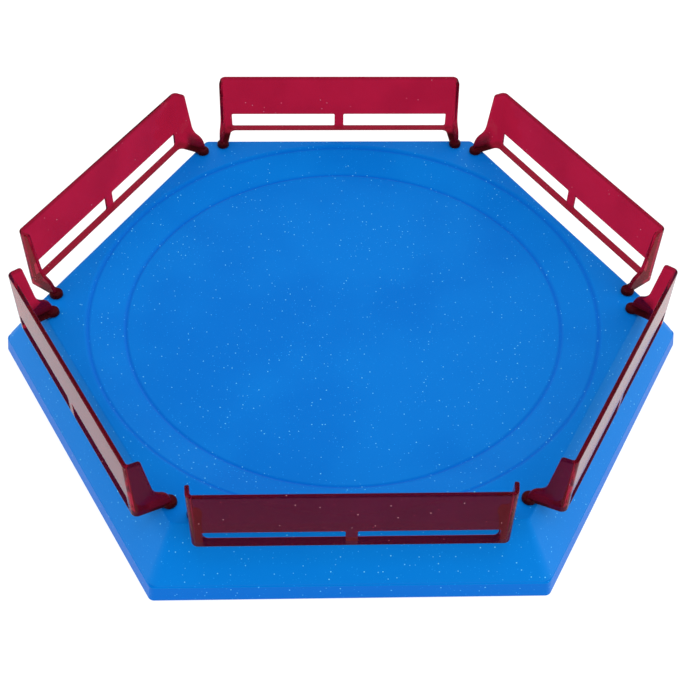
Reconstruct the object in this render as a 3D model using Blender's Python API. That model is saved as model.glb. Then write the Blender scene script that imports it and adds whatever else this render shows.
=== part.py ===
"""Six-sided battle arena for hand-launched spinning tops.

One moulded tray (flat six-sided deck, shallow round dish, sloping skirt, base lip) and six
identical guard rails.  Each rail is one moulding: an upright panel with two long windows, an
end wing at each end that stands on a round foot, and a flange along the lower edge that runs
from foot to foot on the inside.  A peg under each foot drops into a socket in the deck, so a
rail lifts straight up and off.

Frame: metres, +Z up, origin on the ground under the middle of the tray.  The hexagon's
corners lie on +X and -X, and its front side faces -Y.
"""
import bpy
import bmesh
import math
from mathutils import Vector, Matrix
from mathutils.geometry import delaunay_2d_cdt

MM = 0.001

# ---- tray (millimetres) ----
BASE_CORNER_R = 180.7      # centre to the sharp corner of the base hexagon
LIP_CORNER_R = 179.3       # the same at the top of the base lip
DECK_CORNER_R = 158.7      # the same at the deck
LIP_H = 8.9                # height of the upright lip round the base
DECK_H = 33.0              # height of the flat deck
WALL = 2.2                 # wall thickness of the moulding
BASE_FILLET = 3.0          # plan radius of the base corners
DECK_FILLET = 2.6          # plan radius of the deck corners
DECK_EDGE = 0.7            # rounding of the deck's outer edge
RING_OUTER_R = 133.6       # where the dish starts
RING_OUTER_Z = 32.6        # just inside that line, after a small step down
RING_STEP = 0.9            # radial width of the small step
RING_INNER_R = 113.6       # foot of the sloping band
RING_INNER_Z = 26.3
BOWL_Z = 20.5              # middle of the dish
BOWL_RINGS = 5             # circles that shape the shallow bowl
ARC_N = 5                  # segments in each rounded corner
SIDE_N = 9                 # segments along each side
SOCKET_R = 2.3             # bore of a peg socket
BOSS_R = 4.1               # outside of the boss round it
BOSS_BOTTOM = 22.0
RIB_T = 1.6                # stiffening rib under each deck corner
RIB_BOTTOM = 12.0

# ---- guard rail (millimetres; u along the side, v outwards from the middle, z up) ----
PANEL_OUT = 150.6          # outer face of the panel
RAIL_T = 2.0               # thickness of the moulding
FLARE = 6.0                # degrees by which each end wing opens outwards
TIP_OUT = 70.1             # outer face of the wing at the top of its free edge
CORNER_R = 3.2             # outer plan radius between panel and wing
RAIL_BOTTOM = 34.0
RAIL_TOP = 70.0
EDGE_R = 0.45              # chamfer of every exposed edge
WIN_U0, WIN_U1 = 2.7, 64.2 # each window runs from the centre post to the end
WIN_Z0, WIN_Z1 = 35.4, 44.4
WIN_R = 0.8
TIP_V, TIP_R = 142.9, 1.6  # top of the wing's free edge, and its rounding
FLANGE_IN = 146.5          # inner edge of the flange along the panel
FLANGE_W = 4.9             # its width along a wing, from the wing's outer face
FLANGE_R = 3.0             # its plan radius in the corner
FLANGE_END = 133.8         # where it stops, inside the foot
FLANGE_Z0, FLANGE_Z1 = 34.15, 35.25
FOOT_U, FOOT_V = 69.2, 133.2
FOOT_R, FOOT_BOTTOM, FOOT_TOP = 3.5, 33.3, 36.2
PEG_R, PEG_BOTTOM = 2.0, 25.0

SIDES = {                  # direction each side faces, degrees from +X
    "front": -90, "front_right": -30, "back_right": 30,
    "back": 90, "back_left": 150, "front_left": 210,
}
COS30 = math.cos(math.radians(30))


def clear_objects():
    for ob in list(bpy.data.objects):
        bpy.data.objects.remove(ob, do_unlink=True)


def material(name, colour, roughness, metallic=0.0):
    mat = bpy.data.materials.new(name)
    mat.use_nodes = True
    bsdf = mat.node_tree.nodes["Principled BSDF"]
    bsdf.inputs["Base Color"].default_value = (*colour, 1.0)
    bsdf.inputs["Roughness"].default_value = roughness
    bsdf.inputs["Metallic"].default_value = metallic
    return mat


def object_from_bmesh(name, bm, mat=None):
    bmesh.ops.recalc_face_normals(bm, faces=bm.faces)
    mesh = bpy.data.meshes.new(name)
    bm.to_mesh(mesh)
    bm.free()
    ob = bpy.data.objects.new(name, mesh)
    bpy.context.scene.collection.objects.link(ob)
    if mat is not None:
        mesh.materials.append(mat)
    return ob


def boolean(target, operation, other):
    """Apply an exact Boolean and drop the other operand."""
    mod = target.modifiers.new(operation.lower(), "BOOLEAN")
    mod.operation = operation
    mod.solver = "EXACT"
    mod.object = other
    bpy.context.view_layer.update()
    graph = bpy.context.evaluated_depsgraph_get()
    mesh = bpy.data.meshes.new_from_object(target.evaluated_get(graph))
    target.modifiers.clear()
    old, name = target.data, target.data.name
    target.data = mesh
    bpy.data.meshes.remove(old)
    mesh.name = name
    bpy.data.objects.remove(other, do_unlink=True)


def tidy(ob):
    """Merge doubled points a Boolean leaves and face everything outwards."""
    bm = bmesh.new()
    bm.from_mesh(ob.data)
    bmesh.ops.remove_doubles(bm, verts=bm.verts, dist=0.00002)
    bmesh.ops.dissolve_degenerate(bm, edges=bm.edges, dist=0.00001)
    bmesh.ops.triangulate(bm, faces=bm.faces)
    bmesh.ops.recalc_face_normals(bm, faces=bm.faces)
    bm.to_mesh(ob.data)
    bm.free()


def shade(ob, limit_deg=32.0):
    """Round faces shaded smooth, creases kept."""
    bm = bmesh.new()
    bm.from_mesh(ob.data)
    for face in bm.faces:
        face.smooth = True
    for edge in bm.edges:
        if len(edge.link_faces) == 2:
            edge.smooth = edge.calc_face_angle(0.0) < math.radians(limit_deg)
    bm.to_mesh(ob.data)
    bm.free()


# ---- tray ----

def hexagon(corner_r, fillet, z):
    """Points of a rounded hexagon, with the same count and order for every size."""
    pts = []
    for k in range(6):
        a = math.radians(60 * k)
        centre = Vector((math.cos(a), math.sin(a))) * (corner_r - fillet / COS30)
        for i in range(ARC_N + 1):
            t = a + math.radians(-30 + 60 * i / ARC_N)
            pts.append(centre + fillet * Vector((math.cos(t), math.sin(t))))
        last = pts[-1]
        b = math.radians(60 * (k + 1))
        t = b - math.radians(30)
        after = (Vector((math.cos(b), math.sin(b))) * (corner_r - fillet / COS30)
                 + fillet * Vector((math.cos(t), math.sin(t))))
        pts += [last.lerp(after, i / SIDE_N) for i in range(1, SIDE_N)]
    return [Vector((p.x, p.y, z)) for p in pts]


def circle(r, z):
    """Points of a circle, in step with the hexagon's points."""
    ring = hexagon(DECK_CORNER_R, DECK_FILLET, 0.0)
    return [Vector((p.x, p.y, 0)).normalized() * r + Vector((0, 0, z)) for p in ring]


def bowl_height(r, drop):
    """Height of the shallow bowl inside the inner ring line."""
    f = r / RING_INNER_R
    return BOWL_Z + (RING_INNER_Z - BOWL_Z) * f * f - drop


def tray_shell():
    """Closed skin of the open-bottomed tray, loop by loop from the middle of the dish."""
    inset = WALL / COS30
    mid_z = DECK_H - WALL
    run = (LIP_CORNER_R - DECK_CORNER_R) / (DECK_H - LIP_H)
    loops = []
    for i in range(1, BOWL_RINGS + 1):
        r = RING_INNER_R * i / BOWL_RINGS
        loops.append(circle(r, bowl_height(r, 0)))
    loops += [
        circle(RING_OUTER_R - RING_STEP, RING_OUTER_Z),
        circle(RING_OUTER_R, DECK_H),
        hexagon(DECK_CORNER_R - DECK_EDGE, DECK_FILLET, DECK_H),
        hexagon(DECK_CORNER_R, DECK_FILLET + 0.3, DECK_H - DECK_EDGE),
        hexagon(LIP_CORNER_R, BASE_FILLET, LIP_H),
        hexagon(BASE_CORNER_R, BASE_FILLET, 0.0),
        hexagon(BASE_CORNER_R - inset, BASE_FILLET - WALL, 0.0),
        hexagon(LIP_CORNER_R - inset - 0.4, BASE_FILLET - WALL, LIP_H - 0.8),
        hexagon(DECK_CORNER_R - inset + run * WALL * 0.6, 1.2, mid_z),
        circle(RING_OUTER_R - RING_STEP + 0.4, mid_z - 0.4),
    ]
    for i in range(BOWL_RINGS, 0, -1):
        r = RING_INNER_R * i / BOWL_RINGS
        loops.append(circle(r, bowl_height(r, WALL)))
    bm = bmesh.new()
    rows = [[bm.verts.new(p * MM) for p in loop] for loop in loops]
    n = len(rows[0])
    for a, b in zip(rows, rows[1:]):
        for i in range(n):
            j = (i + 1) % n
            bm.faces.new((a[i], a[j], b[j], b[i]))
    for row, z in ((rows[0], bowl_height(0, 0)), (rows[-1], bowl_height(0, WALL))):
        hub = bm.verts.new(Vector((0, 0, z)) * MM)
        for i in range(n):
            bm.faces.new((hub, row[i], row[(i + 1) % n]))
    return bm


def add_cylinder(bm, centre, radius, z0, z1, segments=20):
    made = bmesh.ops.create_cone(bm, cap_ends=True, segments=segments, radius1=radius * MM,
                                 radius2=radius * MM, depth=(z1 - z0) * MM)
    where = Vector((centre.x, centre.y, (z0 + z1) / 2)) * MM
    bmesh.ops.translate(bm, verts=made["verts"], vec=where)


def side_point(facing, u, v, z=0.0):
    """A point given along a side (u), outwards (v) and up (z)."""
    a = math.radians(facing)
    return Vector((v * math.cos(a) - u * math.sin(a), v * math.sin(a) + u * math.cos(a), z))


def socket_centres():
    return [side_point(f, s * FOOT_U, FOOT_V) for f in SIDES.values() for s in (-1, 1)]


def build_tray(mat):
    tray = object_from_bmesh("arena_tray", tray_shell(), mat)
    bosses = bmesh.new()
    for c in socket_centres():
        add_cylinder(bosses, c, BOSS_R, BOSS_BOTTOM, DECK_H - 1.1)
    boolean(tray, "UNION", object_from_bmesh("bosses", bosses))
    ribs = bmesh.new()
    for k in range(6):
        # a web from under the sloping band out to the skirt's corner
        profile = [(124.0, 28.4), (158.0, 31.4), (171.0, RIB_BOTTOM), (146.0, RIB_BOTTOM)]
        a = math.radians(60 * k)
        out, across = Vector((math.cos(a), math.sin(a), 0)), Vector((-math.sin(a), math.cos(a), 0))
        ends = [[ribs.verts.new((out * r + across * s * RIB_T / 2 + Vector((0, 0, z))) * MM)
                 for r, z in profile] for s in (-1, 1)]
        ribs.faces.new(ends[0])
        ribs.faces.new(reversed(ends[1]))
        for i in range(4):
            j = (i + 1) % 4
            ribs.faces.new((ends[0][i], ends[1][i], ends[1][j], ends[0][j]))
    boolean(tray, "UNION", object_from_bmesh("ribs", ribs))
    bores = bmesh.new()
    for c in socket_centres():
        add_cylinder(bores, c, SOCKET_R, BOSS_BOTTOM - 2, DECK_H + 2)
    boolean(tray, "DIFFERENCE", object_from_bmesh("bores", bores))
    tidy(tray)
    shade(tray, 12.0)
    return tray


# ---- guard rail ----

TURN = math.radians(90 - FLARE)            # angle of the bend between panel and wing
SIN_T, COS_T = math.sin(TURN), math.cos(TURN)
MID_R = CORNER_R - RAIL_T / 2              # bend radius of the sheet's middle
BEND_V = PANEL_OUT - CORNER_R              # centre of the bend
TIP_RUN = (BEND_V + CORNER_R * COS_T - TIP_V) / SIN_T   # from the bend to the wing's tip
PANEL_S = TIP_OUT - CORNER_R * SIN_T - TIP_RUN * COS_T  # half length of the flat panel
ARC_S = MID_R * TURN                       # length of the bend
BEND_N = 5


def bezier(p0, p1, p2, p3, n):
    out = []
    for i in range(n + 1):
        t = i / n
        out.append(tuple(p0[k] * (1 - t) ** 3 + 3 * p1[k] * t * (1 - t) ** 2
                         + 3 * p2[k] * t * t * (1 - t) + p3[k] * t ** 3 for k in (0, 1)))
    return out


def wing_edge():
    """The wing's free edge from its tip down to the toe, as (v, z)."""
    tip = [(TIP_V + TIP_R * (1 - math.cos(a)), RAIL_TOP - TIP_R * (1 - math.sin(a)))
           for a in (math.radians(90), math.radians(45), 0.0)]
    heel = bezier((140.2, 49.5), (139.7, 46.2), (138.6, 44.9), (136.4, 43.8), 4)
    toe = bezier((136.4, 43.8), (134.7, 43.0), (133.2, 41.0), (132.6, 37.5), 4)
    return tip + heel + toe[1:] + [(132.0, RAIL_BOTTOM)]


def to_sheet(v):
    """Distance along the developed sheet of a wing point at v."""
    return PANEL_S + ARC_S + (BEND_V + MID_R * COS_T - v) / SIN_T


def sheet_outlines():
    """Outer outline and window outlines in developed coordinates (s, z)."""
    right = [(to_sheet(v), z) for v, z in wing_edge()]
    outer = right + [(-s, z) for s, z in reversed(right)]
    windows = []
    for side in (1, -1):
        corners = []
        for cu, cz, a0 in ((WIN_U1 - WIN_R, WIN_Z1 - WIN_R, 0), (WIN_U0 + WIN_R, WIN_Z1 - WIN_R, 90),
                           (WIN_U0 + WIN_R, WIN_Z0 + WIN_R, 180), (WIN_U1 - WIN_R, WIN_Z0 + WIN_R, 270)):
            for i in range(3):
                a = math.radians(a0 + 45 * i)
                corners.append((side * (cu + WIN_R * math.cos(a)), cz + WIN_R * math.sin(a)))
        windows.append(corners)
    return outer, windows


def offset(poly, dist):
    """Move a closed outline to its left by dist, with mitred corners."""
    out = []
    n = len(poly)
    for i in range(n):
        p0, p1, p2 = (Vector(poly[(i + k) % n]) for k in (-1, 0, 1))
        d0, d1 = (p1 - p0).normalized(), (p2 - p1).normalized()
        n0, n1 = Vector((-d0.y, d0.x)), Vector((-d1.y, d1.x))
        m = (n0 + n1).normalized()
        out.append(tuple(p1 + m * (dist / max(0.35, m.dot(n0)))))
    return out


def signed_area(poly):
    return sum(a[0] * b[1] - b[0] * a[1] for a, b in zip(poly, poly[1:] + poly[:1])) / 2


def inside(poly, x, y):
    hit = False
    for (x0, y0), (x1, y1) in zip(poly, poly[1:] + poly[:1]):
        if (y0 > y) != (y1 > y) and x < (x1 - x0) * (y - y0) / (y1 - y0) + x0:
            hit = not hit
    return hit


def distance(polys, p):
    best = 1e9
    for poly in polys:
        for a, b in zip(poly, poly[1:] + poly[:1]):
            a, b = Vector(a), Vector(b)
            t = max(0.0, min(1.0, (p - a).dot(b - a) / (b - a).length_squared))
            best = min(best, (p - a.lerp(b, t)).length)
    return best


def bend(s, z, h):
    """Place a developed point, h away from the middle of the sheet, at u, v, z."""
    side = 1 if s >= 0 else -1
    s = abs(s)
    if s <= PANEL_S:
        u, v = s, PANEL_OUT - RAIL_T / 2 + h
    else:
        a = min((s - PANEL_S) / MID_R, TURN)
        run = max(0.0, s - PANEL_S - ARC_S)
        u = PANEL_S + (MID_R + h) * math.sin(a) + run * COS_T
        v = BEND_V + (MID_R + h) * math.cos(a) - run * SIN_T
    return Vector((side * u, v, z))


def rail_sheet():
    """The bent sheet with its windows and rounded edges, as one closed skin."""
    outer, windows = sheet_outlines()
    solid = [outer] + windows
    verts, edges = [], []

    def add_loop(poly):
        start = len(verts)
        verts.extend(Vector(p) for p in poly)
        edges.extend((start + i, start + (i + 1) % len(poly)) for i in range(len(poly)))

    for poly in solid:
        inward = 1 if (signed_area(poly) > 0) == (poly is outer) else -1
        add_loop(poly)
        add_loop(offset(poly, inward * EDGE_R))
    for side in (1, -1):
        for i in range(BEND_N + 1):
            s = side * (PANEL_S + ARC_S * i / BEND_N)
            verts += [Vector((s, RAIL_BOTTOM - 1)), Vector((s, RAIL_TOP + 1))]
            edges.append((len(verts) - 2, len(verts) - 1))
    pts, _, tris, *_ = delaunay_2d_cdt(verts, edges, [], 0, 1e-5)
    keep = []
    for tri in tris:
        c = sum((pts[i] for i in tri), Vector((0, 0))) / 3
        if inside(outer, *c) and not any(inside(w, *c) for w in windows):
            keep.append(tuple(tri))
    bm = bmesh.new()
    skins = []
    for face_side in (1, -1):
        skin = {}
        for i in sorted({i for tri in keep for i in tri}):
            d = min(EDGE_R, distance(solid, pts[i]))
            h = RAIL_T / 2 - EDGE_R + math.sqrt(max(0.0, EDGE_R ** 2 - (EDGE_R - d) ** 2))
            skin[i] = bm.verts.new(bend(pts[i].x, pts[i].y, face_side * h) * MM)
        skins.append(skin)
    count = {}
    for tri in keep:
        bm.faces.new([skins[0][i] for i in tri])
        bm.faces.new([skins[1][i] for i in reversed(tri)])
        for a, b in zip(tri, tri[1:] + tri[:1]):
            key = (min(a, b), max(a, b))
            count[key] = count.get(key, 0) + 1
    for (a, b), times in sorted(count.items()):
        if times == 1:
            bm.faces.new((skins[0][a], skins[0][b], skins[1][b], skins[1][a]))
    return bm


def lathe(profile, centre, segments=16):
    """Closed body of revolution about a vertical axis; profile ends on the axis."""
    bm = bmesh.new()
    rows = []
    for r, z in profile:
        if r == 0:
            rows.append([bm.verts.new(Vector((centre[0], centre[1], z)) * MM)])
        else:
            rows.append([bm.verts.new(Vector((centre[0] + r * math.cos(2 * math.pi * i / segments),
                                              centre[1] + r * math.sin(2 * math.pi * i / segments),
                                              z)) * MM) for i in range(segments)])
    for a, b in zip(rows, rows[1:]):
        for i in range(segments):
            j = (i + 1) % segments
            if len(a) == 1:
                bm.faces.new((a[0], b[j], b[i]))
            elif len(b) == 1:
                bm.faces.new((a[i], a[j], b[0]))
            else:
                bm.faces.new((a[i], a[j], b[j], b[i]))
    return bm


def foot_profile():
    """Peg tip, peg, flat of the foot, its side and its domed top, as (r, z)."""
    return [(0, PEG_BOTTOM), (PEG_R - 0.5, PEG_BOTTOM), (PEG_R, PEG_BOTTOM + 0.8),
            (PEG_R, FOOT_BOTTOM), (FOOT_R - 0.3, FOOT_BOTTOM), (FOOT_R, FOOT_BOTTOM + 0.3),
            (FOOT_R, FOOT_TOP - 1.5), (FOOT_R - 0.4, FOOT_TOP - 0.75),
            (FOOT_R - 1.3, FOOT_TOP - 0.25), (0, FOOT_TOP)]


def flange_stations():
    """Pairs of plan points, buried edge and inner edge, from the corner to the foot."""
    back = Vector((TIP_OUT - FLANGE_W * SIN_T, TIP_V - FLANGE_W * COS_T))
    # the inner edges of the panel's and the wing's flange would meet here without a radius
    meet = back.x + (back.y - FLANGE_IN) / SIN_T * COS_T
    centre = Vector((meet - FLANGE_R * math.tan(TURN / 2), FLANGE_IN - FLANGE_R))
    pairs = []
    for i in range(BEND_N + 1):
        a = TURN * i / BEND_N
        way = Vector((math.sin(a), math.cos(a)))
        pairs.append((bend(PANEL_S + ARC_S * i / BEND_N, 0, 0).to_2d(), centre + way * FLANGE_R))
    run = (back.y - FLANGE_END) / SIN_T
    pairs.append((bend(to_sheet(FLANGE_END), 0, 0).to_2d(), back + Vector((COS_T, -SIN_T)) * run))
    return pairs


def flange():
    """Flange along the lower edge of panel and wings, its inner edges eased."""
    c = 0.25
    right = flange_stations()
    mirror = [tuple(Vector((-p.x, p.y)) for p in pair) for pair in reversed(right)]
    bm = bmesh.new()
    rows = []
    for buried, edge in mirror + right:
        near = edge + (buried - edge).normalized() * c
        section = [(buried, FLANGE_Z0), (near, FLANGE_Z0), (edge, FLANGE_Z0 + c),
                   (edge, FLANGE_Z1 - c), (near, FLANGE_Z1), (buried, FLANGE_Z1)]
        rows.append([bm.verts.new(Vector((p.x, p.y, z)) * MM) for p, z in section])
    bm.faces.new(rows[0])
    bm.faces.new(list(reversed(rows[-1])))
    for a, b in zip(rows, rows[1:]):
        for i in range(len(a)):
            j = (i + 1) % len(a)
            bm.faces.new((a[i], b[i], b[j], a[j]))
    return bm


def build_rail_master(mat):
    rail = object_from_bmesh("guard_rail", rail_sheet(), mat)
    boolean(rail, "UNION", object_from_bmesh("flange", flange()))
    for side in (-1, 1):
        foot = lathe(foot_profile(), (side * FOOT_U, FOOT_V))
        boolean(rail, "UNION", object_from_bmesh("foot", foot))
    tidy(rail)
    return rail


def place_rail(master, side, facing, mat):
    """Turn a copy of the rail to its side of the tray.

    The object's origin is at the middle of its panel's foot, on its lift-off axis.
    """
    mesh = master.data.copy()
    mesh.name = "guard_rail_" + side
    origin = side_point(facing, 0.0, PANEL_OUT - RAIL_T / 2, RAIL_BOTTOM) * MM
    # local +Y of the master points outwards along v
    turn = Matrix.Rotation(math.radians(facing - 90), 4, "Z")
    mirror = Matrix.Diagonal((-1, 1, 1, 1))
    mesh.transform(Matrix.Translation(-origin) @ turn @ mirror)
    mesh.flip_normals()
    mesh.materials.clear()
    mesh.materials.append(mat)
    ob = bpy.data.objects.new("guard_rail_" + side, mesh)
    bpy.context.scene.collection.objects.link(ob)
    ob.location = origin
    shade(ob)
    return ob


def main():
    clear_objects()
    build_tray(material("tray_blue", (0.012, 0.16, 0.62), 0.22))
    master = build_rail_master(None)
    for side, facing in SIDES.items():
        place_rail(master, side, facing, material("rail_" + side, (0.36, 0.012, 0.04), 0.15))
    bpy.data.objects.remove(master, do_unlink=True)


main()
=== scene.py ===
"""Look of a six-sided battle arena for hand-launched spinning tops.

One blue tray with glitter moulded in, and six clear crimson guard rails that stand in sockets
round its deck.  The CAD model is the frame: the tray and each rail are built again here at a
finer pitch, in the same place and to the same sizes, and stand for their CAD nodes.

Frame: metres, +Z up, floor at z = 0, the front side of the hexagon facing -Y.  Lengths in the
constants and in the shape functions are millimetres unless marked otherwise; MM turns them
into metres.
"""

import math

import bmesh
import bpy
from mathutils import Matrix, Vector
from mathutils.geometry import delaunay_2d_cdt


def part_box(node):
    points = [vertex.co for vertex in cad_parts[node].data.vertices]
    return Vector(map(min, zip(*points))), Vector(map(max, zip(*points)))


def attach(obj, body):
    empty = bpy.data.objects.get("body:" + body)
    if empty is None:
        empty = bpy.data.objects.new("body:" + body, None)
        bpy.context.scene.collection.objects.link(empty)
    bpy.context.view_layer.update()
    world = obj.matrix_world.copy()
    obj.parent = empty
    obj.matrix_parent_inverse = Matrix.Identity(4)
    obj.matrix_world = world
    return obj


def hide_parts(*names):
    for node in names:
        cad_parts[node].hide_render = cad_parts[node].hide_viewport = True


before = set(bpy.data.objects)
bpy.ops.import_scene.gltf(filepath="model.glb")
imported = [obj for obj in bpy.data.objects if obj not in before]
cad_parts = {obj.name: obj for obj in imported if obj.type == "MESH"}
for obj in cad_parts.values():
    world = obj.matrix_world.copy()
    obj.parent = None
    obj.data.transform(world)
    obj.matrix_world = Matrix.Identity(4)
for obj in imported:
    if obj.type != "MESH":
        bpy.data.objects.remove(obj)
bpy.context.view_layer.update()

MM = 0.001
COS30 = math.cos(math.radians(30))
TRAY_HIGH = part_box("arena_tray")[1] / MM
RAIL_LOW, RAIL_HIGH = (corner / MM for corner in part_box("guard_rail_front"))

# ---- tray ----
DECK_H = TRAY_HIGH.z               # height of the flat deck
BASE_CORNER_R = TRAY_HIGH.y / COS30    # centre to the sharp corner of the base hexagon
LIP_CORNER_R = BASE_CORNER_R - 1.4     # the same at the top of the base lip
DECK_CORNER_R = BASE_CORNER_R - 22.0   # the same at the deck
LIP_H = 8.9                        # height of the upright lip round the base
WALL = 2.2                         # wall thickness of the moulding
BASE_FILLET = 3.2                  # plan radius of the base corners
SKIRT_FILLET = 7.0                 # the same at the foot of the skirt
DECK_FILLET = 2.6                  # plan radius of the deck corners
DECK_ROUND = 1.3                   # rounding between deck and skirt
SKIRT_STEPS = (0.12, 0.4, 0.7, 1.0)    # shares of the way down the skirt
SKIRT_END = 0.9                    # it ends this far above the lip's height
LEDGE = 0.8                        # width of the small ledge over the lip
FOOT_ROUND = 0.5                   # rounding of the lip's lower edge
RING_OUTER_R = 133.6               # where the deck ends and the dish starts
RING_INNER_R = 113.6               # foot of the dish's sloping band
BAND_TOP_Z = DECK_H - 0.4          # the band stops a little below the deck
RING_INNER_Z = DECK_H - 6.7
BOWL_Z = DECK_H - 12.5             # middle of the dish
RIM = ((0.0, 0.12), (0.35, 0.02), (0.8, 0.0))  # last steps up to the deck: (out, below)
BOWL_RINGS = 20
BAND_RINGS = 6
GROOVE_HALF = 1.5                  # half width of the two moulded ring lines
GROOVE_DEPTH = 0.3
GROOVE_STEPS = 10
TRAY_ARC_N = 12                    # segments in each rounded corner
TRAY_SIDE_N = 30                   # segments along each side
SOCKET_R, SOCKET_EASE = 2.3, 0.4   # bore of a peg socket, and its eased rim
BOSS_R, BOSS_EASE = 4.1, 0.4       # boss round each socket, and its eased lower edge
BOSS_BOTTOM, BOSS_TOP = 22.0, DECK_H - 1.1     # its top is inside the deck's wall
RIB_T, RIB_BOTTOM = 1.6, 12.0      # stiffening rib under each deck corner
# its outline from under the sloping band out to the skirt's corner, as (r, z)
RIB_WEB = ((124.0, 28.4), (158.0, 31.4), (171.0, RIB_BOTTOM), (146.0, RIB_BOTTOM))

# ---- guard rail (u along the side, v outwards from the middle, z up) ----
PANEL_OUT = -RAIL_LOW.y            # outer face of the panel
RAIL_TOP = RAIL_HIGH.z
PEG_BOTTOM = RAIL_LOW.z
RAIL_BOTTOM = DECK_H + 1.0
RAIL_T = 2.0                       # thickness of the moulding
FOOT_R = 3.5                       # the feet reach furthest along the side
FOOT_U, FOOT_V = RAIL_HIGH.x - FOOT_R, 133.2
FOOT_BOTTOM, FOOT_TOP = DECK_H + 0.3, DECK_H + 3.2
FOOT_SHOULDER = 1.5                # rounding round the top of a foot
PEG_R = 2.0
FLARE = 6.0                        # degrees by which each end wing opens outwards
TIP_OUT = FOOT_U + 0.9             # outer face of the wing at the top of its free edge
TIP_V, TIP_R = 142.9, 1.6          # that edge, and its rounding
# below it the edge runs down as two curves, heel and toe, with these control points (v, z)
HEEL = ((140.2, 49.5), (139.7, 46.2), (138.6, 44.9), (136.4, 43.8))
TOE = ((136.4, 43.8), (134.7, 43.0), (133.2, 41.0), (132.6, 37.5))
TOE_END = 132.0                    # where it reaches the rail's lower edge
CURVE_N = 10
CORNER_R = 3.2                     # outer plan radius between panel and wing
EDGE_R = 0.6                       # rounding of every free edge
EDGE_STEPS = 4
WIN_U0, WIN_U1 = 2.7, 64.2         # a window runs from the centre post to the end
WIN_Z0, WIN_Z1 = DECK_H + 2.4, DECK_H + 11.4
WIN_R = 0.8
FLANGE_IN = 146.5                  # inner edge of the flange along the panel
FLANGE_W = 4.9                     # its width along a wing, from the wing's outer face
FLANGE_R = 3.0                     # its plan radius in the corner
FLANGE_END = 133.8                 # where it stops, inside the foot
FLANGE_Z0, FLANGE_Z1 = DECK_H + 1.15, DECK_H + 2.25
FLANGE_EDGE = 0.35
BEND_N = 14                        # segments in each panel to wing bend
LATHE_N = 40
WELD_TRAY, WELD_RAIL = 0.004, 0.015    # points closer than this are merged
SLIVER = 0.002                     # edges shorter than this are dissolved
CREASE_TRAY, CREASE_RAIL = 40, 50  # sharper edges than this, in degrees, stay creases

SIDES = {                          # direction that each side faces, degrees from +X
    "front": -90, "front_right": -30, "back_right": 30,
    "back": 90, "back_left": 150, "front_left": 210,
}


# ---- mesh helpers ----

def mesh_object(name, bm):
    """An object in the scene from a bmesh, which is used up."""
    bmesh.ops.recalc_face_normals(bm, faces=bm.faces)
    mesh = bpy.data.meshes.new(name)
    bm.to_mesh(mesh)
    bm.free()
    ob = bpy.data.objects.new(name, mesh)
    bpy.context.scene.collection.objects.link(ob)
    return ob


def boolean(target, operation, other):
    """Combine two closed meshes exactly and drop the second."""
    mod = target.modifiers.new(operation.lower(), "BOOLEAN")
    mod.operation = operation
    mod.solver = "EXACT"
    mod.object = other
    graph = bpy.context.evaluated_depsgraph_get()
    mesh = bpy.data.meshes.new_from_object(target.evaluated_get(graph))
    target.modifiers.clear()
    old, name = target.data, target.data.name
    target.data = mesh
    bpy.data.meshes.remove(old)
    mesh.name = name
    bpy.data.objects.remove(other, do_unlink=True)


def finish_mesh(ob, crease_deg, weld):
    """Merge doubled points, shade round faces smooth and keep the creases."""
    bm = bmesh.new()
    bm.from_mesh(ob.data)
    bmesh.ops.remove_doubles(bm, verts=bm.verts, dist=weld * MM)
    bmesh.ops.dissolve_degenerate(bm, edges=bm.edges, dist=SLIVER * MM)
    bmesh.ops.recalc_face_normals(bm, faces=bm.faces)
    for face in bm.faces:
        face.smooth = True
    for edge in bm.edges:
        if len(edge.link_faces) == 2:
            edge.smooth = edge.calc_face_angle(0.0) < math.radians(crease_deg)
    bm.to_mesh(ob.data)
    bm.free()
    mod = ob.modifiers.new("flat faces lead", "WEIGHTED_NORMAL")
    mod.keep_sharp = True
    mod.weight = 90


def lathe(bm, profile, centre):
    """Closed body of revolution about an upright axis; profile starts and ends on the axis."""
    rows = []
    for r, z in profile:
        turns = range(LATHE_N) if r > 0 else (0,)
        rows.append([bm.verts.new(Vector((centre[0] + r * math.cos(2 * math.pi * i / LATHE_N),
                                          centre[1] + r * math.sin(2 * math.pi * i / LATHE_N),
                                          z)) * MM) for i in turns])
    for a, b in zip(rows, rows[1:]):
        for i in range(LATHE_N):
            j = (i + 1) % LATHE_N
            corners = [a[i % len(a)], a[j % len(a)], b[j % len(b)], b[i % len(b)]]
            bm.faces.new(list(dict.fromkeys(corners)))


def arc(centre, radius, start_deg, end_deg, n):
    """Points of an arc in the plane, both ends included."""
    out = []
    for i in range(n + 1):
        a = math.radians(start_deg + (end_deg - start_deg) * i / n)
        out.append((centre[0] + radius * math.cos(a), centre[1] + radius * math.sin(a)))
    return out


def side_point(facing, u, v):
    """Plan position of a point given along a side (u) and outwards (v)."""
    a = math.radians(facing)
    return (v * math.cos(a) - u * math.sin(a), v * math.sin(a) + u * math.cos(a))


# ---- tray ----

def hexagon(corner_r, fillet, z):
    """Points of a rounded hexagon, with the same count and order for every size."""
    reach = corner_r - fillet / COS30
    corners = []
    for k in range(6):
        middle = Vector((math.cos(math.radians(60 * k)), math.sin(math.radians(60 * k)))) * reach
        corners.append([Vector(p) for p in
                        arc(middle, fillet, 60 * k - 30, 60 * k + 30, TRAY_ARC_N)])
    pts = []
    for k, corner in enumerate(corners):
        after = corners[(k + 1) % 6][0]
        pts += corner + [corner[-1].lerp(after, i / TRAY_SIDE_N) for i in range(1, TRAY_SIDE_N)]
    return [Vector((p.x, p.y, z)) for p in pts]


DIRECTIONS = [Vector((p.x, p.y, 0)).normalized() for p in hexagon(DECK_CORNER_R, DECK_FILLET, 0)]


def circle(r, z):
    """Points of a circle, in step with the hexagon's points."""
    return [d * r + Vector((0, 0, z)) for d in DIRECTIONS]


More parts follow.
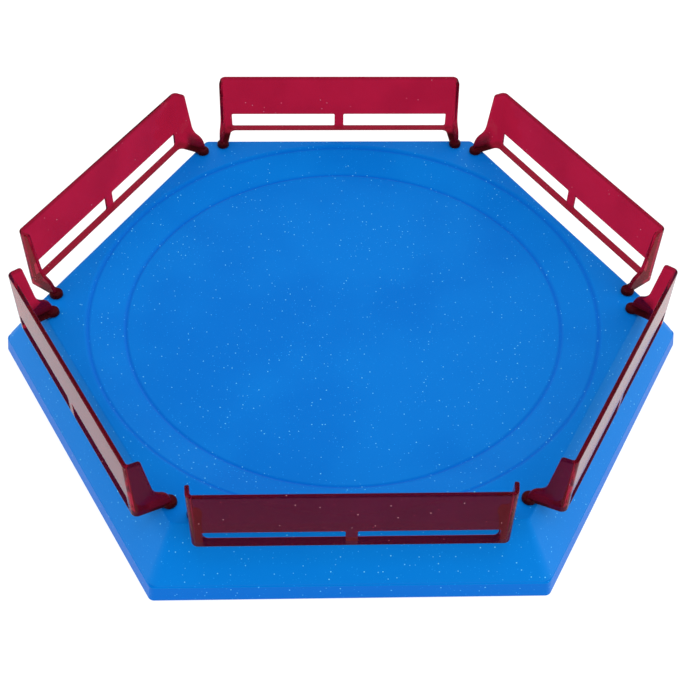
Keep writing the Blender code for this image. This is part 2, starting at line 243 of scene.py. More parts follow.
def dish_height(r):
    """Height of the dish at a radius: shallow bowl, then the straight sloping band."""
    if r <= RING_INNER_R:
        return BOWL_Z + (RING_INNER_Z - BOWL_Z) * (r / RING_INNER_R) ** 2
    f = (r - RING_INNER_R) / (RING_OUTER_R - RING_INNER_R)
    return RING_INNER_Z + (BAND_TOP_Z - RING_INNER_Z) * min(f, 1.0)


def groove(r, middle):
    """Depth of a rounded ring line at a radius."""
    f = abs(r - middle) / GROOVE_HALF
    return GROOVE_DEPTH * 0.5 * (1 + math.cos(math.pi * f)) if f < 1 else 0.0


def dish_profile():
    """The dish's upper face from near the middle out to the deck, as (r, z)."""
    start = RING_INNER_R - GROOVE_HALF
    out = [(start * i / BOWL_RINGS, dish_height(start * i / BOWL_RINGS))
           for i in range(1, BOWL_RINGS)]
    for i in range(GROOVE_STEPS + 1):
        r = start + 2 * GROOVE_HALF * i / GROOVE_STEPS
        out.append((r, dish_height(r) - groove(r, RING_INNER_R)))
    outer_mid = RING_OUTER_R - GROOVE_HALF
    first, last = out[-1][0], outer_mid - GROOVE_HALF
    for i in range(1, BAND_RINGS):
        r = first + (last - first) * i / BAND_RINGS
        out.append((r, dish_height(r)))
    rim_z = DECK_H - RIM[0][1]
    for i in range(GROOVE_STEPS + 1):
        r = last + 2 * GROOVE_HALF * i / GROOVE_STEPS
        # past the middle of the outer ring line the face also rises to the rim
        rise = max(0.0, (r - outer_mid) / GROOVE_HALF)
        top = dish_height(r) + (rim_z - dish_height(r)) * rise ** 2 * (3 - 2 * rise)
        out.append((r, top - groove(r, outer_mid)))
    return out + [(RING_OUTER_R + step, DECK_H - below) for step, below in RIM[1:]]


def skirt_loops():
    """Deck edge, skirt, ledge and lip down to the floor, then up inside the wall to the deck.

    Each loop is a hexagon's corner radius, plan rounding and height.
    """
    slope = math.degrees(math.atan2(DECK_H - LIP_H, (LIP_CORNER_R - DECK_CORNER_R) * COS30))
    back = DECK_ROUND * math.tan(math.radians(slope / 2))
    loops = []
    for out, z in arc((-back, -DECK_ROUND), DECK_ROUND, 90, 90 - slope, 5):
        loops.append((DECK_CORNER_R + out / COS30, DECK_FILLET + 0.2 + out * 0.1, DECK_H + z))
    for f in SKIRT_STEPS:
        corner = DECK_CORNER_R + (LIP_CORNER_R - LEDGE - DECK_CORNER_R) * f
        loops.append((corner, DECK_FILLET + (SKIRT_FILLET - DECK_FILLET) * f,
                      DECK_H + (LIP_H + SKIRT_END - DECK_H) * f))
    # ledge, rounded top of the lip, the lip itself and its rounded lower edge
    shelf = LIP_H - 0.1
    loops += [(LIP_CORNER_R - LEDGE + 0.12, SKIRT_FILLET, shelf + 0.35),
              (LIP_CORNER_R - LEDGE + 0.32, SKIRT_FILLET, shelf + 0.08),
              (LIP_CORNER_R - 0.35, BASE_FILLET, shelf - 0.05),
              (LIP_CORNER_R - 0.1, BASE_FILLET, shelf - 0.2),
              (LIP_CORNER_R, BASE_FILLET, shelf - 0.5),
              (BASE_CORNER_R, BASE_FILLET, FOOT_ROUND),
              (BASE_CORNER_R - 0.12, BASE_FILLET, FOOT_ROUND * 0.4),
              (BASE_CORNER_R - 0.45, BASE_FILLET, 0.0)]
    # flat rim that the tray stands on, then the wall's inner face
    inset = WALL / COS30
    fillet = BASE_FILLET - WALL
    loops += [(BASE_CORNER_R - inset + 0.3, fillet, 0.0),
              (BASE_CORNER_R - inset, fillet, 0.3),
              (LIP_CORNER_R - inset - 0.2, fillet, LIP_H - 2.2),
              (LIP_CORNER_R - inset - 0.9, fillet, LIP_H - 0.6),
              (DECK_CORNER_R - inset + 2.6, 1.6, DECK_H - WALL - 1.6),
              (DECK_CORNER_R - inset + 0.6, 1.2, DECK_H - WALL)]
    return [hexagon(*loop) for loop in loops]


def tray_shell():
    """Closed skin of the open-bottomed tray, loop by loop from the middle of the dish."""
    loops = [circle(r, z) for r, z in dish_profile()] + skirt_loops()
    loops.append(circle(RING_OUTER_R + 0.2, DECK_H - WALL))
    start = RING_OUTER_R - 1.2
    under = [start - (start - RING_INNER_R) * i / BAND_RINGS for i in range(BAND_RINGS + 1)]
    under += [RING_INNER_R * i / BOWL_RINGS for i in range(BOWL_RINGS - 1, 0, -1)]
    loops += [circle(r, dish_height(r) - WALL) for r in under]
    bm = bmesh.new()
    rows = [[bm.verts.new(p * MM) for p in loop] for loop in loops]
    n = len(rows[0])
    for a, b in zip(rows, rows[1:]):
        for i in range(n):
            j = (i + 1) % n
            bm.faces.new((a[i], a[j], b[j], b[i]))
    for row, z in ((rows[0], dish_height(0)), (rows[-1], dish_height(0) - WALL)):
        hub = bm.verts.new(Vector((0, 0, z)) * MM)
        for i in range(n):
            bm.faces.new((hub, row[i], row[(i + 1) % n]))
    return bm


def build_tray():
    """The shell with bosses and ribs under it and sockets bored into it."""
    tray = mesh_object("tray_moulding", tray_shell())
    sockets = [side_point(facing, s * FOOT_U, FOOT_V) for facing in SIDES.values() for s in (-1, 1)]
    under = bmesh.new()
    for centre in sockets:
        lathe(under, [(0, BOSS_BOTTOM), (BOSS_R - BOSS_EASE, BOSS_BOTTOM),
                      (BOSS_R, BOSS_BOTTOM + BOSS_EASE), (BOSS_R, BOSS_TOP), (0, BOSS_TOP)], centre)
    for k in range(6):
        a = math.radians(60 * k)
        out, across = Vector((math.cos(a), math.sin(a), 0)), Vector((-math.sin(a), math.cos(a), 0))
        ends = [[under.verts.new((out * r + across * s * RIB_T / 2 + Vector((0, 0, z))) * MM)
                 for r, z in RIB_WEB] for s in (-1, 1)]
        under.faces.new(ends[0])
        under.faces.new(reversed(ends[1]))
        for i in range(4):
            j = (i + 1) % 4
            under.faces.new((ends[0][i], ends[1][i], ends[1][j], ends[0][j]))
    boolean(tray, "UNION", mesh_object("bosses_and_ribs", under))
    bores = bmesh.new()
    for centre in sockets:
        lathe(bores, [(0, BOSS_BOTTOM - 2), (SOCKET_R, BOSS_BOTTOM - 2),
                      (SOCKET_R, DECK_H - SOCKET_EASE), (SOCKET_R + SOCKET_EASE + 1, DECK_H + 1),
                      (0, DECK_H + 1)], centre)
    boolean(tray, "DIFFERENCE", mesh_object("bores", bores))
    finish_mesh(tray, CREASE_TRAY, WELD_TRAY)
    return tray


# ---- guard rail ----

TURN = math.radians(90 - FLARE)            # angle of the bend between panel and wing
SIN_T, COS_T = math.sin(TURN), math.cos(TURN)
MID_R = CORNER_R - RAIL_T / 2              # bend radius of the sheet's middle
BEND_V = PANEL_OUT - CORNER_R              # centre of the bend
TIP_RUN = (BEND_V + CORNER_R * COS_T - TIP_V) / SIN_T   # from the bend to the wing's tip
PANEL_S = TIP_OUT - CORNER_R * SIN_T - TIP_RUN * COS_T  # half length of the flat panel
ARC_S = MID_R * TURN                       # length of the bend


def bezier(p0, p1, p2, p3, n):
    """Points of a cubic curve in the plane, both ends included."""
    out = []
    for i in range(n + 1):
        t = i / n
        out.append(tuple(p0[k] * (1 - t) ** 3 + 3 * p1[k] * t * (1 - t) ** 2
                         + 3 * p2[k] * t * t * (1 - t) + p3[k] * t ** 3 for k in (0, 1)))
    return out


def wing_edge():
    """The wing's free edge from its tip down over the heel to the toe, as (v, z)."""
    tip = [(v, z) for v, z in arc((TIP_V + TIP_R, RAIL_TOP - TIP_R), TIP_R, 90, 180, 6)]
    return tip + bezier(*HEEL, CURVE_N) + bezier(*TOE, CURVE_N)[1:] + [(TOE_END, RAIL_BOTTOM)]


def to_sheet(v):
    """Distance along the flattened sheet of a wing point at v."""
    return PANEL_S + ARC_S + (BEND_V + MID_R * COS_T - v) / SIN_T


def rail_outlines():
    """Outer outline and the two windows on the flattened sheet, as (s, z)."""
    half = [(to_sheet(v), z) for v, z in wing_edge()]
    outer = half + [(-s, z) for s, z in reversed(half)]
    windows = []
    for side in (1, -1):
        corners = []
        left, right, low, high = WIN_U0 + WIN_R, WIN_U1 - WIN_R, WIN_Z0 + WIN_R, WIN_Z1 - WIN_R
        for u, z, start in ((right, high, 0), (left, high, 90),
                            (left, low, 180), (right, low, 270)):
            corners += [(side * s, h) for s, h in arc((u, z), WIN_R, start, start + 90, 4)]
        windows.append(corners)
    return outer, windows


def edges_of(poly):
    """Pairs of neighbouring points round a closed outline."""
    return zip(poly, poly[1:] + poly[:1])


def offset(poly, dist):
    """Move a closed outline to its left by dist, with mitred corners."""
    out = []
    for i, here in enumerate(poly):
        before, here, after = Vector(poly[i - 1]), Vector(here), Vector(poly[(i + 1) % len(poly)])
        d0, d1 = (here - before).normalized(), (after - here).normalized()
        n0, n1 = Vector((-d0.y, d0.x)), Vector((-d1.y, d1.x))
        mitre = (n0 + n1).normalized()
        out.append(tuple(here + mitre * (dist / max(0.35, mitre.dot(n0)))))
    return out


def signed_area(poly):
    """Area of a closed outline, positive if it runs anticlockwise."""
    return sum(a[0] * b[1] - b[0] * a[1] for a, b in edges_of(poly)) / 2


def inside(poly, x, y):
    """Whether a point lies inside a closed outline."""
    hit = False
    for (x0, y0), (x1, y1) in edges_of(poly):
        if (y0 > y) != (y1 > y) and x < (x1 - x0) * (y - y0) / (y1 - y0) + x0:
            hit = not hit
    return hit


def edge_distance(polys, x, y):
    """Distance from a point to the nearest outline."""
    best = 1e9
    for poly in polys:
        for (x0, y0), (x1, y1) in edges_of(poly):
            dx, dy = x1 - x0, y1 - y0
            t = max(0.0, min(1.0, ((x - x0) * dx + (y - y0) * dy) / (dx * dx + dy * dy)))
            best = min(best, math.hypot(x - x0 - t * dx, y - y0 - t * dy))
    return best


def bend(s, z, h):
    """Place a point of the flat sheet, h away from its middle, at u, v, z."""
    side = 1 if s >= 0 else -1
    s = abs(s)
    if s <= PANEL_S:
        u, v = s, PANEL_OUT - RAIL_T / 2 + h
    else:
        a = min((s - PANEL_S) / MID_R, TURN)
        run = max(0.0, s - PANEL_S - ARC_S)
        u = PANEL_S + (MID_R + h) * math.sin(a) + run * COS_T
        v = BEND_V + (MID_R + h) * math.cos(a) - run * SIN_T
    return Vector((side * u, v, z))


def rail_sheet():
    """The bent sheet with its windows and rounded edges, as one closed skin."""
    outer, windows = rail_outlines()
    outlines = [outer] + windows
    verts, edges = [], []
    for poly in outlines:
        inward = 1 if (signed_area(poly) > 0) == (poly is outer) else -1
        for step in range(EDGE_STEPS + 1):
            depth = EDGE_R * (1 - math.cos(math.pi / 2 * step / EDGE_STEPS))
            start = len(verts)
            verts += [Vector(p) for p in (offset(poly, inward * depth) if step else poly)]
            edges += [(start + i, start + (i + 1) % len(poly)) for i in range(len(poly))]
    for side in (1, -1):
        for i in range(BEND_N + 1):
            s = side * (PANEL_S + ARC_S * i / BEND_N)
            verts += [Vector((s, RAIL_BOTTOM - 1)), Vector((s, RAIL_TOP + 1))]
            edges.append((len(verts) - 2, len(verts) - 1))
    pts, _, tris, *_ = delaunay_2d_cdt(verts, edges, [], 0, 1e-5)
    keep = []
    for tri in tris:
        x, y = (sum(pts[i][k] for i in tri) / 3 for k in (0, 1))
        if inside(outer, x, y) and not any(inside(w, x, y) for w in windows):
            keep.append(tuple(tri))
    # two skins, h away from the sheet's middle, that draw together along every edge
    bm = bmesh.new()
    skins = ({}, {})
    for i in sorted({i for tri in keep for i in tri}):
        d = min(EDGE_R, edge_distance(outlines, pts[i].x, pts[i].y))
        h = RAIL_T / 2 - EDGE_R + math.sqrt(max(0.0, EDGE_R ** 2 - (EDGE_R - d) ** 2))
        for skin, face_side in zip(skins, (1, -1)):
            skin[i] = bm.verts.new(bend(pts[i].x, pts[i].y, face_side * h) * MM)
    uses = {}
    for tri in keep:
        bm.faces.new([skins[0][i] for i in tri])
        bm.faces.new([skins[1][i] for i in reversed(tri)])
        for a, b in edges_of(tri):
            uses[min(a, b), max(a, b)] = uses.get((min(a, b), max(a, b)), 0) + 1
    for (a, b), times in sorted(uses.items()):
        if times == 1:
            bm.faces.new((skins[0][a], skins[0][b], skins[1][b], skins[1][a]))
    return bm


def foot_profile():
    """Peg tip, peg, flat of the foot, its side and its domed top, as (r, z)."""
    shoulder = arc((FOOT_R - FOOT_SHOULDER, FOOT_TOP - FOOT_SHOULDER), FOOT_SHOULDER, 0, 55, 5)
    return [(0, PEG_BOTTOM), (PEG_R - 0.6, PEG_BOTTOM), (PEG_R - 0.2, PEG_BOTTOM + 0.25),
            (PEG_R, PEG_BOTTOM + 0.8), (PEG_R, FOOT_BOTTOM), (FOOT_R - 0.35, FOOT_BOTTOM),
            (FOOT_R - 0.1, FOOT_BOTTOM + 0.1), (FOOT_R, FOOT_BOTTOM + 0.35),
            *shoulder, (FOOT_R - 1.8, FOOT_TOP - 0.08), (0, FOOT_TOP)]


def flange_stations():
    """Pairs of plan points, buried edge and inner edge, from the corner to the foot."""
    back = Vector((TIP_OUT - FLANGE_W * SIN_T, TIP_V - FLANGE_W * COS_T))
    # the inner edges of the panel's and the wing's flange would meet here without a radius
    meet = back.x + (back.y - FLANGE_IN) / SIN_T * COS_T
    centre = Vector((meet - FLANGE_R * math.tan(TURN / 2), FLANGE_IN - FLANGE_R))
    pairs = []
    for i in range(BEND_N + 1):
        a = TURN * i / BEND_N
        way = Vector((math.sin(a), math.cos(a)))
        pairs.append((bend(PANEL_S + ARC_S * i / BEND_N, 0, 0).to_2d(), centre + way * FLANGE_R))
    run = (back.y - FLANGE_END) / SIN_T
    pairs.append((bend(to_sheet(FLANGE_END), 0, 0).to_2d(), back + Vector((COS_T, -SIN_T)) * run))
    return pairs


def flange():
    """Flange along the lower edge of panel and wings, its inner edges rounded."""
    right = flange_stations()
    mirror = [tuple(Vector((-p.x, p.y)) for p in pair) for pair in reversed(right)]
    e = FLANGE_EDGE
    rounding = arc((e, FLANGE_Z0 + e), e, 270, 180, 4) + arc((e, FLANGE_Z1 - e), e, 180, 90, 4)
    bm = bmesh.new()
    rows = []
    for buried, edge in mirror + right:
        inwards = (buried - edge).normalized()
        section = [(buried, FLANGE_Z0), *((edge + inwards * d, z) for d, z in rounding),
                   (buried, FLANGE_Z1)]
        rows.append([bm.verts.new(Vector((p.x, p.y, z)) * MM) for p, z in section])
    bm.faces.new(rows[0])
    bm.faces.new(list(reversed(rows[-1])))
    for a, b in zip(rows, rows[1:]):
        for i in range(len(a)):
            j = (i + 1) % len(a)
            bm.faces.new((a[i], b[i], b[j], a[j]))
    return bm


def build_rail_master():
    """One rail, its panel square to +Y."""
    rail = mesh_object("rail_master", rail_sheet())
    boolean(rail, "UNION", mesh_object("flange", flange()))
    feet = bmesh.new()
    for side in (-1, 1):
        lathe(feet, foot_profile(), (side * FOOT_U, FOOT_V))
    boolean(rail, "UNION", mesh_object("feet", feet))
    return rail


def place_rail(master, side, facing):
    """A finished copy of the rail, turned to its side of the tray."""
    mesh = master.data.copy()
    mesh.name = "rail_moulding_" + side
    mesh.transform(Matrix.Rotation(math.radians(facing - 90), 4, "Z"))
    rail = bpy.data.objects.new(mesh.name, mesh)
    bpy.context.scene.collection.objects.link(rail)
    finish_mesh(rail, CREASE_RAIL, WELD_RAIL)
    return rail


# ---- materials ----

def set_inputs(tree, made, values):
    """Set a node's inputs; each takes a plain value or another node's output."""
    for name, value in values.items():
        if isinstance(value, bpy.types.NodeSocket):
            tree.links.new(value, made.inputs[name])
        else:
            made.inputs[name].default_value = value


def node(tree, kind, settings=None, inputs=None):
    """A new node with its settings and inputs."""
    made = tree.nodes.new("ShaderNode" + kind)
    for name, value in (settings or {}).items():
        setattr(made, name, value)
    set_inputs(tree, made, inputs or {})
    return made


def maths(tree, operation, a, b=0.0, clamp=False):
    """The result of one step of arithmetic."""
    return node(tree, "Math", {"operation": operation, "use_clamp": clamp}, {0: a, 1: b}).outputs[0]


def weighted(tree, total, parts):
    """A starting value plus each part times its weight."""
    for part, weight in parts:
        total = maths(tree, "ADD", total, maths(tree, "MULTIPLY", part, weight))
    return total


def span(tree, value, low, high, to_low=0.0, to_high=1.0):
    """Value mapped from one range to another, smoothly and clamped."""
    return node(tree, "MapRange", {"interpolation_type": "SMOOTHSTEP"},
                {0: value, 1: low, 2: high, 3: to_low, 4: to_high}).outputs[0]


def fading(tree, value, low, high):
    """1 below low, 0 above high."""
    return span(tree, value, low, high, 1.0, 0.0)


def blend_colour(tree, share, a, b):
    """Colour b laid over colour a by share."""
    return node(tree, "Mix", {"data_type": "RGBA"}, {0: share, 6: a, 7: b}).outputs[2]


def tinted(tree, base, mask, share, over):
    """A share of another colour laid over the base where the mask is 1."""
    return blend_colour(tree, maths(tree, "MULTIPLY", mask, share), base, over)


def noise(tree, where, size_mm, detail):
    """Even cloud noise from 0 to 1 whose grain is about size_mm across."""
    return node(tree, "TexNoise", {}, {"Vector": where, "Scale": 1000.0 / size_mm,
                                       "Detail": detail}).outputs["Fac"]


def clouds(tree, where, size_and_detail, limits):
    """Noise with its middle range, between the limits, stretched to 0 and 1."""
    return span(tree, noise(tree, where, *size_and_detail), *limits)


def bumped(tree, grain, strength, height_mm):
    """The surface's normal, roughened by the grain."""
    return node(tree, "Bump", {}, {"Strength": strength, "Distance": height_mm * MM,
                                   "Height": grain}).outputs[0]


def flecks(tree, where, spacing_mm, radius_mm, share):
    """Glitter: (mask of specks, lot of each speck); only a share of the cells has one."""
    cells = node(tree, "TexVoronoi", {"feature": "F1"},
                 {"Vector": where, "Scale": 1000.0 / spacing_mm})
    near = radius_mm / spacing_mm
    dot = fading(tree, cells.outputs["Distance"], near * 0.7, near * 1.3)
    lot = node(tree, "SeparateColor", {}, {0: cells.outputs["Color"]})
    chosen = maths(tree, "GREATER_THAN", lot.outputs[0], 1.0 - share)
    return maths(tree, "MULTIPLY", dot, chosen), lot.outputs[1]


def upward(tree, vector):
    """The z part of a vector."""
    return node(tree, "SeparateXYZ", {}, {0: vector}).outputs[2]


def new_material(name):
    """A material, its tree, its shader and the object's own coordinates, which are the frame's."""
    mat = bpy.data.materials.new(name)
    mat.use_nodes = True
    tree = mat.node_tree
    where = node(tree, "TexCoord").outputs["Object"]
    return mat, tree, tree.nodes["Principled BSDF"], where


def colour(r, g, b):
    """An opaque linear colour."""
    return (r, g, b, 1.0)


def in_mm(limits):
    """Limits given in millimetres, for a node that works in metres."""
    return (value * MM for value in limits)


# Each noise has a size and a detail, each bump a strength and a height, and each kind of fleck
# a spacing, a radius and the share of places that have one.

# blue tray
BLUE_PLAIN, BLUE_LIGHTER = colour(0.0006, 0.150, 0.600), colour(0.0015, 0.172, 0.640)
# the first blue is painted shade, a deeper blue for the ring-line grooves and the lip
# the second blue is painted light, a purer, brighter blue for the skirt
BLUE_PAINTED_SHADE, BLUE_PAINTED_LIGHT = colour(0.0003, 0.070, 0.520), colour(0.0004, 0.180, 0.710)
TRAY_CLOUDS, TRAY_CLOUD_LIMITS = (60, 2), (0.35, 0.65)
TRAY_GRAIN, TRAY_BUMP = (0.9, 4), (0.25, 0.04)
RING_SHADE_SHARE, RING_FADE = 0.45, (0.1, 1.8)    # share of painted shade, a deeper blue, in a ring-line groove, and its fading
SKIRT_LIGHT_SHARE, LIP_SHADE_SHARE = 0.6, 0.17           # shares of painted light, a purer blue, on the skirt, and of painted shade, a deeper blue, on the lip
LIP_LEVEL, SKIRT_LEVEL = (0.1, 0.5), (0.65, 0.95)  # upward part of the normal where each ends
SKIRT_FADE = (23.0, DECK_H)                # heights over which the skirt's painted light and its matter finish end
DUST, DUST_SHARE, DUST_BLUE = (1.5, 0.18, 0.6), 0.6, colour(0.012, 0.300, 0.82)
GLITTER, GLITTER_LOTS = (2.1, 0.26, 0.75), (0.5, 0.98)
GLINT_DIM, GLINT_BRIGHT = colour(0.012, 0.27, 0.82), colour(0.20, 0.75, 1.0)
# roughness, and what grain, glints, slopes, skirt and lip add to it
TRAY_ROUGH, TRAY_ROUGH_GRAIN, TRAY_ROUGH_GLINT = 0.42, 0.14, -0.15
TRAY_ROUGH_SLOPE, TRAY_ROUGH_SKIRT, TRAY_ROUGH_LIP = 0.28, -0.18, 0.08
TRAY_GLOSS, LIP_GLOSS, SLOPE_GLOSS = 0.2, 0.06, 0.4    # a slope's comes on top of the tray's
TRAY_IOR, TRAY_GLOSS_TINT = 1.5, colour(0.01, 0.80, 0.60)

# crimson rails
CRIMSON, CRIMSON_LIGHTER = colour(0.38, 0.0085, 0.040), colour(0.43, 0.0100, 0.046)
RAIL_CLOUDS, RAIL_CLOUD_LIMITS = (25, 2), (0.3, 0.7)
RAIL_GRAIN, RAIL_BUMP = (1.4, 3), (0.15, 0.03)
RAIL_FLECKS = (3.4, 0.26, 0.32)
FLECK_DIM, FLECK_BRIGHT = colour(0.48, 0.12, 0.16), colour(0.85, 0.58, 0.62)
# painted shade: darker crimson on the flange, where light passes through more plastic
FLANGE_SHADE_SHARE, FLANGE_PAINTED_SHADE = 0.7, colour(0.20, 0.0110, 0.020)
FLANGE_FADE = (RAIL_BOTTOM + 0.6, FOOT_TOP + 0.3)
# painted shade: a dark line along the top edge, where light bends inside the clear plastic
TOP_SHADE_SHARE, TOP_PAINTED_SHADE = 0.6, colour(0.12, 0.0030, 0.010)
TOP_FADE = (RAIL_TOP - 1.3, RAIL_TOP - 0.5)
WING_FADE = (141.0, 145.0)                 # distances out over which wing turns to panel
# painted shade: darker low on the wings, where the plastic is thick near the deck
HEEL_SHADE_SHARE, HEEL_PAINTED_SHADE = 0.7, colour(0.11, 0.0050, 0.016)
HEEL_FADE = (DECK_H + 4, DECK_H + 14)
# painted shade: near black at the feet
KNOB_SHADE_SHARE, KNOB_PAINTED_SHADE = 0.8, colour(0.040, 0.0040, 0.0040)
KNOB_FADE = (DECK_H + 2.6, DECK_H + 4.2)
CLEAR, CLEAR_FLECK, CLEAR_HEEL = 0.85, -0.6, -0.4      # how clear, and what each adds to it
RAIL_ROUGH, RAIL_ROUGH_GRAIN = 0.05, 0.06
RAIL_IOR = 1.13                            # low, so that the panels don't mirror the floor
RAIL_GLOSS, RAIL_GLOSS_TINT = 0.4, colour(0.54, 0.41, 0.42)

# floor
PAPER_DARKER, PAPER_LIGHTER = colour(0.35, 0.35, 0.35), colour(0.37, 0.37, 0.37)
PAPER_CLOUDS, PAPER_CLOUD_LIMITS = (400, 2), (0.3, 0.7)
PAPER_GLOW = 0.76


def tray_plastic():
    """Blue moulding with fine glitter, painted shade in the ring lines and on the lip, painted light
    on the matter skirt.
    """
    mat, tree, shader, where = new_material("blue_glitter_plastic")
    cloud = clouds(tree, where, TRAY_CLOUDS, TRAY_CLOUD_LIMITS)
    base = blend_colour(tree, cloud, BLUE_PLAIN, BLUE_LIGHTER)
    # distance from the middle picks out the two ring lines, where shade is painted
    flat = node(tree, "VectorMath", {"operation": "MULTIPLY"}, {0: where, 1: (1.0, 1.0, 0.0)})
    radius = node(tree, "VectorMath", {"operation": "LENGTH"}, {0: flat.outputs[0]}).outputs["Value"]
    for ring in (RING_INNER_R, RING_OUTER_R - GROOVE_HALF):
        away = maths(tree, "ABSOLUTE", maths(tree, "SUBTRACT", radius, ring * MM))
        share = span(tree, away, *in_mm(RING_FADE), RING_SHADE_SHARE, 0.0)
        base = blend_colour(tree, share, base, BLUE_PAINTED_SHADE)
    # how far upwards the face looks tells the lip, the slopes and the deck apart
    level = upward(tree, node(tree, "NewGeometry").outputs["Normal"])
    lip = fading(tree, level, *LIP_LEVEL)
    slope_and_lip = fading(tree, level, *SKIRT_LEVEL)
    slope = maths(tree, "MULTIPLY", slope_and_lip, maths(tree, "SUBTRACT", 1.0, lip))
    skirt = maths(tree, "MULTIPLY", slope_and_lip,
                  fading(tree, upward(tree, where), *in_mm(SKIRT_FADE)))
    # painted light: a share of the purer, brighter blue on the skirt
    base = tinted(tree, base, skirt, SKIRT_LIGHT_SHARE, BLUE_PAINTED_LIGHT)
    # painted shade: a share of the deeper blue darkens the lip near the floor
    base = tinted(tree, base, lip, LIP_SHADE_SHARE, BLUE_PAINTED_SHADE)
    dust, _ = flecks(tree, where, *DUST)
    base = tinted(tree, base, dust, DUST_SHARE, DUST_BLUE)
    specks, lot = flecks(tree, where, *GLITTER)
    glint = blend_colour(tree, span(tree, lot, *GLITTER_LOTS), GLINT_DIM, GLINT_BRIGHT)
    base = blend_colour(tree, specks, base, glint)
    grain = noise(tree, where, *TRAY_GRAIN)
    rough = weighted(tree, TRAY_ROUGH, (
        (grain, TRAY_ROUGH_GRAIN), (specks, TRAY_ROUGH_GLINT), (slope, TRAY_ROUGH_SLOPE),
        (skirt, TRAY_ROUGH_SKIRT), (lip, TRAY_ROUGH_LIP)))
    gloss = weighted(tree, span(tree, level, *LIP_LEVEL, LIP_GLOSS, TRAY_GLOSS),
                     ((slope, SLOPE_GLOSS),))
    set_inputs(tree, shader, {
        "Base Color": base, "Roughness": rough, "Normal": bumped(tree, grain, *TRAY_BUMP),
        "IOR": TRAY_IOR, "Specular IOR Level": gloss, "Specular Tint": TRAY_GLOSS_TINT})
    return mat


def wing_mask(tree, where):
    """1 on a rail's wings and feet, which lie further in than its panel."""
    out = 0.0
    for facing in (-90, -30, 30):          # each stands for the side across from it too
        a = math.radians(facing)
        along = node(tree, "VectorMath", {"operation": "DOT_PRODUCT"},
                     {0: where, 1: (math.cos(a), math.sin(a), 0.0)}).outputs["Value"]
        out = maths(tree, "MAXIMUM", out, maths(tree, "ABSOLUTE", along))
    return fading(tree, out, *in_mm(WING_FADE))


def rail_plastic():
    """Clear crimson moulding with a little body colour, a few pale flecks, and painted shade at its
    flange, top edge, heels and feet.
    """
    mat, tree, shader, where = new_material("clear_crimson_plastic")
    cloud = clouds(tree, where, RAIL_CLOUDS, RAIL_CLOUD_LIMITS)
    base = blend_colour(tree, cloud, CRIMSON, CRIMSON_LIGHTER)
    specks, lot = flecks(tree, where, *RAIL_FLECKS)
    base = blend_colour(tree, specks, base, blend_colour(tree, lot, FLECK_DIM, FLECK_BRIGHT))
    # painted shade: darker at the flange, along the top edge, and at the wings' heels and feet
    height = upward(tree, where)
    base = blend_colour(tree, span(tree, height, *in_mm(FLANGE_FADE), FLANGE_SHADE_SHARE, 0.0), base,
                        FLANGE_PAINTED_SHADE)
    base = blend_colour(tree, span(tree, height, *in_mm(TOP_FADE), 0.0, TOP_SHADE_SHARE), base,
                        TOP_PAINTED_SHADE)
    wing = wing_mask(tree, where)
    heel = maths(tree, "MULTIPLY", wing, fading(tree, height, *in_mm(HEEL_FADE)))
    knob = maths(tree, "MULTIPLY", wing, fading(tree, height, *in_mm(KNOB_FADE)))
    # painted shade at the wings' heels and feet
    base = tinted(tree, base, heel, HEEL_SHADE_SHARE, HEEL_PAINTED_SHADE)
    base = tinted(tree, base, knob, KNOB_SHADE_SHARE, KNOB_PAINTED_SHADE)
    clear = maths(tree, "ADD", weighted(tree, CLEAR, ((specks, CLEAR_FLECK),)),
                  maths(tree, "MULTIPLY", heel, CLEAR_HEEL), clamp=True)
    grain = noise(tree, where, *RAIL_GRAIN)
    set_inputs(tree, shader, {
        "Base Color": base, "Roughness": weighted(tree, RAIL_ROUGH, ((grain, RAIL_ROUGH_GRAIN),)),
        "Normal": bumped(tree, grain, *RAIL_BUMP), "Transmission Weight": clear,
        "IOR": RAIL_IOR, "Specular IOR Level": RAIL_GLOSS, "Specular Tint": RAIL_GLOSS_TINT})
    return mat


def floor_paper():
    """White backdrop paper that glows a little, so that it shows as pure white."""
    mat, tree, shader, where = new_material("white_paper")
    cloud = clouds(tree, where, PAPER_CLOUDS, PAPER_CLOUD_LIMITS)
    set_inputs(tree, shader, {
        "Base Color": blend_colour(tree, cloud, PAPER_DARKER, PAPER_LIGHTER),
        "Roughness": 0.9, "Specular IOR Level": 0.0,
        "Emission Color": colour(1.0, 1.0, 1.0), "Emission Strength": PAPER_GLOW})
    return mat


# ---- surroundings ----

VIEW_YAW, VIEW_ELEVATION, VIEW_ROLL = 2.44, 47.143, 1.392   # degrees
VIEW_DISTANCE = 621.68             # from the camera to the plane of the aim point
VIEW_AIM = Vector((0.0, 0.0, 30.0))
VIEW_OFFSET = (-3.151, 22.625)     # how far right and up of the picture's middle the aim point is
LENS = 61.04                       # on a sensor 36 mm wide
FLOOR_HALF = 12.0                  # metres
SOFTBOX_PLACE, SOFTBOX_SIZE, SOFTBOX_WATTS = (0.1, -0.2, 2.15), 1.2, 11.0      # metres
# the room's light: an even level, more towards +Y and +X, at both sides and overhead
ROOM_LEVEL, ROOM_BACK, ROOM_RIGHT, ROOM_SIDES, ROOM_ABOVE = 0.64, 0.05, 0.18, 0.72, 0.22


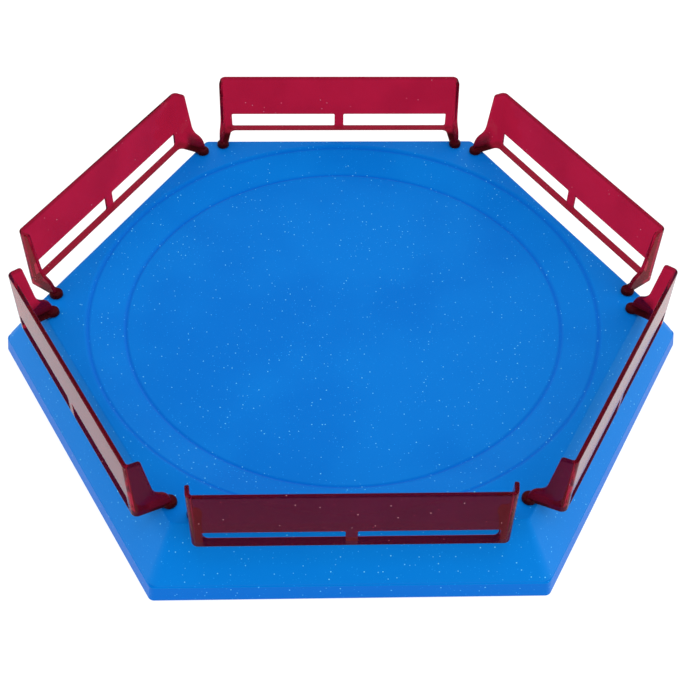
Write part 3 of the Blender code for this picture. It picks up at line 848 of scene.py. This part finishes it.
def add_camera():
    """Camera with the photograph's view, fitted to the tray's and the rails' corners."""
    yaw, up_angle, roll = (math.radians(a) for a in (VIEW_YAW, VIEW_ELEVATION, VIEW_ROLL))
    ahead = Vector((math.sin(yaw) * math.cos(up_angle), math.cos(yaw) * math.cos(up_angle),
                    -math.sin(up_angle)))
    level = Vector((math.cos(yaw), -math.sin(yaw), 0.0))
    upright = level.cross(ahead)
    right = math.cos(roll) * level + math.sin(roll) * upright
    up = math.cos(roll) * upright - math.sin(roll) * level
    place = (VIEW_AIM - ahead * VIEW_DISTANCE - right * VIEW_OFFSET[0] - up * VIEW_OFFSET[1]) * MM
    data = bpy.data.cameras.new("camera")
    data.sensor_width = 36.0
    data.lens = LENS
    data.clip_start, data.clip_end = 0.01, 50.0
    camera = bpy.data.objects.new("camera", data)
    bpy.context.scene.collection.objects.link(camera)
    axes = Matrix((right, up, -ahead)).transposed().to_4x4()
    camera.matrix_world = Matrix.Translation(place) @ axes
    bpy.context.scene.camera = camera


def add_floor():
    """Plain floor, which isn't part of the object."""
    bm = bmesh.new()
    bmesh.ops.create_grid(bm, x_segments=1, y_segments=1, size=FLOOR_HALF)
    floor = mesh_object("floor", bm)
    floor.data.materials.append(floor_paper())


def add_softbox():
    """Square area light over the tray that looks at its middle."""
    data = bpy.data.lights.new("top_softbox", "AREA")
    data.shape, data.size, data.energy = "SQUARE", SOFTBOX_SIZE, SOFTBOX_WATTS
    light = bpy.data.objects.new("top_softbox", data)
    light.location = SOFTBOX_PLACE
    light.rotation_mode = "QUATERNION"
    light.rotation_quaternion = (-Vector(SOFTBOX_PLACE)).to_track_quat("-Z", "Y")
    bpy.context.scene.collection.objects.link(light)


def add_world():
    """White studio room, brighter at the sides, above and to the right."""
    world = bpy.data.worlds.new("studio")
    bpy.context.scene.world = world
    world.use_nodes = True
    tree = world.node_tree
    tree.nodes.clear()
    way = node(tree, "SeparateXYZ", {}, {0: node(tree, "TexCoord").outputs["Generated"]})
    right, back, above = way.outputs[:3]
    strength = weighted(tree, ROOM_LEVEL, (
        (back, ROOM_BACK), (right, ROOM_RIGHT), (maths(tree, "MULTIPLY", right, right), ROOM_SIDES),
        (maths(tree, "MAXIMUM", above, 0.0), ROOM_ABOVE)))
    glow = node(tree, "Background", {}, {"Color": colour(1.0, 1.0, 1.0), "Strength": strength})
    out = tree.nodes.new("ShaderNodeOutputWorld")
    tree.links.new(glow.outputs[0], out.inputs[0])


# ---- scene ----

add_camera()
add_world()
add_floor()
add_softbox()

tray = build_tray()
tray.data.materials.append(tray_plastic())
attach(tray, "tray")
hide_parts("arena_tray")

crimson = rail_plastic()
rail_master = build_rail_master()
for side, facing in SIDES.items():
    rail = place_rail(rail_master, side, facing)
    rail.data.materials.clear()
    rail.data.materials.append(crimson)
    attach(rail, "rail_" + side)
    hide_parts("guard_rail_" + side)
bpy.data.objects.remove(rail_master, do_unlink=True)

bpy.context.scene.view_settings.view_transform = "Standard"
